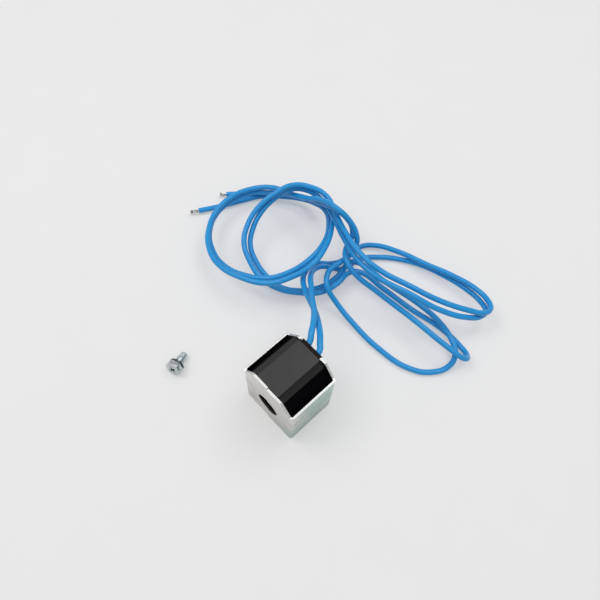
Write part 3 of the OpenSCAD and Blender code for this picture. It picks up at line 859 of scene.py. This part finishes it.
rim_zinc, tree, place = start_finish("burnished_zinc_rim", Metallic=1)
mottle(tree, place, BRUISE, tones=("#dfdedb", "#b2b6b6"), rough=(0.24, 0.4), span=NOISE_SPAN)
dress_faces(rim_zinc, yoke, lambda middle, face: abs(face.normal.z) > RIM_SLOPE
            and abs(middle.z - SIDE_H / 2) > SIDE_H / 2 - SHEET)

# %% [markdown]
# The moulding is black epoxy. Its plateau comes out satin from a lightly blasted mould, and so it
# catches the light from above. The shoulders are a little worn, the steep slopes are matt and stay
# almost black, and the outlet block is browner: a painted brownish glint. One finish with masks
# could do it all, but one recipe on faces chosen by place is simpler.

# %% Four finishes of black resin
MOULD_GRIT, GRIT_DEPTH, CAST_DRIFT = 0.25 * MM, 0.01 * MM, 6 * MM
ROUGH_DRIFT = 0.05
SHOULDER_SLOPE, PLATEAU_SLOPE = 0.5, 0.95


def cast_resin(name, pale, deep, rough, specular):
    """Black plastic that took its finish from the mould, grey dust and all."""
    material, tree, place = start_finish(name, Specular_IOR_Level=specular)
    mottle(tree, place, CAST_DRIFT, tones=(deep, pale), span=NOISE_SPAN, detail=4,
           rough=(rough - ROUGH_DRIFT, rough + ROUGH_DRIFT))
    ruffle(tree, place, MOULD_GRIT, GRIT_DEPTH, strength=0.4, detail=2)
    return material


dress(cast_resin("matt_black_resin", "#09090c", "#050507", 0.5, 0.01), moulding)
dress_faces(cast_resin("worn_black_resin", "#0a0a0c", "#040405", 0.3, 0.33), moulding,
            lambda middle, face: middle.z > SHOULDER_Z - SEAM and face.normal.z > SHOULDER_SLOPE
            and middle.y < IN_Y)
dress_faces(cast_resin("satin_black_resin", "#0a0a0c", "#040405", 0.28, 0.55), moulding,
            lambda middle, face: middle.z > PLATEAU_Z - SEAM and face.normal.z > PLATEAU_SLOPE)
# The browner tones on the outlet block are a painted brownish glint.
dress_faces(cast_resin("black_resin_with_painted_brown_glint", "#201715", "#120c0c", 0.5, 0.1), moulding,
            lambda middle, face: middle.y > IN_Y and middle.z > OUTLET_Z0 - SEAM)

# %% [markdown]
# The bobbin is black nylon. Only its bore shows, deep in the plunger's hole, so a duller version of
# the same recipe is enough.

# %% Nylon for the bobbin
nylon = cast_resin("black_nylon", "#0f0d0d", "#080707", 0.55, 0.15)
dress(nylon, frame["nodes"]["bobbin"])

# %% [markdown]
# Inside lie the winding, its tape and the terminals. Nobody sees them until the part is opened, and
# then each should still look like itself. The winding is copper wire under clear enamel, wound side
# by side. Thousands of modelled turns would be too heavy for a hidden piece, so a wave texture
# draws them; it repeats every tau / 20 at a scale of one.

# %% Copper for the winding
WIRE_PITCH, ENAMEL_DRIFT = 0.4 * MM, 3 * MM
WAVE_LENGTH = math.tau / 20

copper, tree, place = start_finish("enamelled_copper", Metallic=1, Coat_Weight=0.6, Coat_Roughness=0.15)
enamel = mottle(tree, place, ENAMEL_DRIFT, tones=("#c97a45", "#a85a2a"), rough=(0.2, 0.4))
turns = add_node(tree, "TexWave", {"Vector": place, "Scale": WAVE_LENGTH / WIRE_PITCH},
                 bands_direction="Y")
# The grooves between the turns are drawn in a darker tone.
grooved = add_node(tree, "Mix", {0: turns.outputs["Fac"], 6: colour("#5a2a12"), 7: enamel},
                   data_type="RGBA")
relief = add_node(tree, "Bump", {"Height": turns.outputs["Fac"], "Strength": 0.8,
                                 "Distance": WIRE_PITCH / 4})
feed(tree, Base_Color=grooved.outputs[2], Normal=relief.outputs["Normal"])
dress(copper, frame["nodes"]["winding"])

# %% [markdown]
# A turn of thin yellow polyester film holds the winding together. It is glossy, and wavy where it
# follows the wires. The waves could be modelled, but tilting the surface with noise breaks the
# gloss into the same streaks.

# %% Polyester for the tape
TAPE_STAIN, TAPE_WAVE, WAVE_DEPTH = 6 * MM, 2.5 * MM, 0.05 * MM

tape, tree, place = start_finish("yellow_polyester_film", Specular_IOR_Level=0.5)
mottle(tree, place, TAPE_STAIN, tones=("#dcc650", "#c2a534"), rough=(0.15, 0.35))
ruffle(tree, place, TAPE_WAVE, WAVE_DEPTH, strength=0.5)
dress(tape, frame["nodes"]["winding_tape"])

# %% [markdown]
# The terminals are pins cut from drawn brass wire and tinned for soldering. Drawing leaves fine lines
# along them, and the brass shows yellow through the tin. Noise stretched along the pin gives both.

# %% Tinned brass for the terminals
DRAW_LINE, DRAW_STRETCH = 0.08 * MM, 0.05

brass, tree, place = start_finish("tinned_brass", Metallic=1)
down = add_node(tree, "Mapping", {"Vector": place, "Scale": (1, 1, DRAW_STRETCH)})
mottle(tree, down.outputs["Vector"], DRAW_LINE, tones=("#d5d2c8", "#b5a573"), rough=(0.2, 0.4), detail=2)
dress(brass, frame["nodes"]["terminal_a"], frame["nodes"]["terminal_b"])

# %% [markdown]
# The leads are insulated with blue vinyl, extruded over the strands. Vinyl like this is half glossy,
# slightly uneven along its length, and the strands inside press faint ripples through it. Dust
# makes it duller in patches. Ripples in the mesh would be heavy, so noise tilts its surface.

# %% Blue vinyl for the leads
VINYL_DRIFT, VINYL_RIPPLE, RIPPLE_DEPTH = 14 * MM, 1.1 * MM, 0.03 * MM

blue, tree, place = start_finish("blue_vinyl", Specular_IOR_Level=0.38)
mottle(tree, place, VINYL_DRIFT, tones=("#1f98da", "#1187cb"), rough=(0.2, 0.34), span=NOISE_SPAN)
ruffle(tree, place, VINYL_RIPPLE, RIPPLE_DEPTH, strength=0.4)
dress(blue, lead_a, lead_b)

# %% [markdown]
# The bare strands are copper with a thin coat of tin. The tin is almost white where it is new and
# goes grey-brown where stripping rubbed it off. Real spots are as small as a wire is thick; these
# are drawn coarser, so that they show.

# %% Tin for the bare strands
TIN_RUB = 1.3 * MM

tin, tree, place = start_finish("tinned_copper_strands", Metallic=1)
mottle(tree, place, TIN_RUB, tones=("#f0eeea", "#6a605a"), rough=(0.18, 0.4), blend=(0.42, 0.6))
dress(tin, strands_a, strands_b)

# %% [markdown]
# The screw is zinc plated too, but its zinc is cooler and brighter than the strip's, with no warm
# tint. Barrel plating tumbles such small parts against each other, which leaves dull patches, and
# the thread gets lighter tones than the head, painted light for the brighter shine along the shank.
# One recipe with two pairs of tones does both, and turning the screw upright again tells its thread
# from its head.

# %% Zinc for the screw
SCREW_PATCH = 2 * MM
upright = lie.inverted()


def tumbled_zinc(name, clean, patched):
    """Cool bright zinc with the dull patches of barrel plating."""
    material, tree, place = start_finish(name, Metallic=1)
    mottle(tree, place, SCREW_PATCH, tones=(clean, patched), rough=(0.14, 0.3), blend=(0.35, 0.65),
           span=NOISE_SPAN, detail=4)
    return material


dress(tumbled_zinc("bright_zinc_screw", "#d2d9db", "#9ea6aa"), screw)
# The thread's lighter tones are painted light.
dress_faces(tumbled_zinc("thread_zinc_with_painted_light", "#e2e8ea", "#b9c1c5"), screw,
            lambda middle, face: (upright @ middle).z < -NECK_L / 2)

# %% [markdown]
# The cross recess lies deep in shade, and so does the wall of the plunger's hole in the yoke, which
# mirrors the dark bore. Both get painted shade, which is why they read as black marks. Dark paint
# all over would look wrong, so the painted shade is a finish of its own on those faces only.

# %% Painted shade for the recess and the hole
RECESS_SHADE_PATCH, WALL_SLOPE = 0.5 * MM, 0.5


def in_recess(middle, face):
    """Whether a face of the lying screw belongs to its cross recess."""
    at = upright @ middle
    return at.xy.length < RECESS_L / 2 and HEAD_H - RECESS_H - SEAM < at.z < HEAD_H - SEAM / 2


painted_shade, tree, place = start_finish("painted_recess_and_hole_shade", Specular_IOR_Level=0.3)
mottle(tree, place, RECESS_SHADE_PATCH, tones=("#14181a", "#33393b"), rough=(0.35, 0.65))
dress_faces(painted_shade, screw, in_recess)
dress_faces(painted_shade, yoke, lambda middle, face: middle.y < SHEET - YOKE_D / 2
            and abs(face.normal.y) < WALL_SLOPE
            and math.hypot(middle.x, middle.z - BORE_Z) < HOLE_R + SEAM)

# %% [markdown]
# The object lies on pale paper under a bright ceiling. The paper keeps its soft shadows, and a part
# of its own tone is given to what the eye and the mirrors see of it, as an exposure for a white
# page does. The mottling of paper is faint, but keeps the floor from being one flat tone.

# %% Lay the paper
FLOOR_GLOW, PAPER_MOTTLE = 0.4, 30 * MM
FLOOR_SIZE = 60


def seen_rays(tree):
    """One for rays that come from the eye or a mirror, nought for those that carry light."""
    rays = add_node(tree, "LightPath").outputs
    seen = add_node(tree, "Math", {0: rays["Is Camera Ray"], 1: rays["Is Glossy Ray"]}, operation="ADD")
    seen = add_node(tree, "Math", {0: seen.outputs[0], 1: rays["Is Transmission Ray"]}, operation="ADD",
                    use_clamp=True)
    return seen.outputs[0]


bpy.ops.mesh.primitive_plane_add(size=FLOOR_SIZE, location=(0, 0, 0))
floor = bpy.context.object
floor.name = "floor"
floor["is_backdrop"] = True
paper, tree, place = start_finish("pale_paper", Roughness=0.9, Specular_IOR_Level=0.2)
mottling = add_node(tree, "TexNoise", {"Vector": place, "Scale": 1 / PAPER_MOTTLE, "Detail": 2})
tone = add_node(tree, "Mix", {0: mottling.outputs["Fac"], 6: colour("#eaeaea"), 7: colour("#e8e8e8")},
                data_type="RGBA")
feed(tree, Base_Color=tone.outputs[2])
part = add_node(tree, "Math", {0: seen_rays(tree), 1: FLOOR_GLOW}, operation="MULTIPLY")
glow = add_node(tree, "Emission", {"Color": tone.outputs[2]})
blend = add_node(tree, "MixShader", {0: part.outputs[0], 1: tree.nodes["Principled BSDF"].outputs[0],
                                     2: glow.outputs[0]})
tree.links.new(blend.outputs[0], tree.nodes["Material Output"].inputs["Surface"])
dress(paper, floor)

# %% [markdown]
# The light is that of a small photo table. The world is a white tent that grows brighter towards its
# top, which the plateau and the rims mirror. It could be built from cloth and lamps, but a tone that
# depends on height alone gives the same soft light. Low down, the eye and the mirrors see a wall as
# pale as the paper, which lights nothing.

# %% Hang the tent
TENT_LOW, TENT_TOP, WALL = 0.45, 1.25, 0.81
WALL_FADES, TENT_FROM = 0.3, 0.6

world = bpy.data.worlds.new("studio")
scene.world = world
world.use_nodes = True
tree = world.node_tree
up = add_node(tree, "SeparateXYZ", {0: add_node(tree, "TexCoord").outputs["Generated"]}).outputs["Z"]
tent = add_node(tree, "MapRange", {"Value": up, "From Min": TENT_FROM, "From Max": 1, "To Min": TENT_LOW,
                                   "To Max": TENT_TOP}, interpolation_type="SMOOTHSTEP")
wall = add_node(tree, "MapRange", {"Value": up, "From Min": WALL_FADES, "From Max": TENT_FROM,
                                   "To Min": WALL - TENT_LOW, "To Max": 0},
                interpolation_type="SMOOTHSTEP")
shown = add_node(tree, "Math", {0: wall.outputs[0], 1: seen_rays(tree), 2: tent.outputs[0]},
                 operation="MULTIPLY_ADD")
tree.links.new(shown.outputs[0], tree.nodes["Background"].inputs["Strength"])
tree.nodes["Background"].inputs["Color"].default_value = (1, 1, 1, 1)
print("tent: %.2f low down, %.2f at the top" % (TENT_LOW, TENT_TOP))

# %% [markdown]
# Two square lamps stand at two sides, high up, and give the soft double shadows under the loops. A
# sun would draw hard ones. Each lamp has its place in metres and its power in watts, and is turned
# to face the origin. The plain view transform keeps the tones as they were chosen.

# %% Place the lamps
LAMP_SIZE = 0.4
LAMPS = (("front_lamp", (-0.45, -0.23, 0.86), 1.8), ("rear_lamp", (0, 0.5, 0.86), 1.3))

for name, way, watts in LAMPS:
    lamp = bpy.data.objects.new(name, bpy.data.lights.new(name, "AREA"))
    scene.collection.objects.link(lamp)
    lamp.data.size = LAMP_SIZE
    lamp.data.energy = watts
    lamp.location = Vector(way)
    lamp.rotation_mode = "QUATERNION"
    lamp.rotation_quaternion = (-Vector(way)).to_track_quat("-Z", "Y")
scene.view_settings.view_transform = "Standard"

# %% [markdown]
# Dressing must not change the object's size. The box of the bare model and that of the dressed one
# are compared, and the largest distance between their corners is printed.

# %% Compare both sizes
dressed_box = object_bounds()
growth = max((dressed - bare).length for dressed, bare in zip(dressed_box, cad_box))
print("dressed corners lie %.1f mm at most from the bare model's" % (growth / MM))
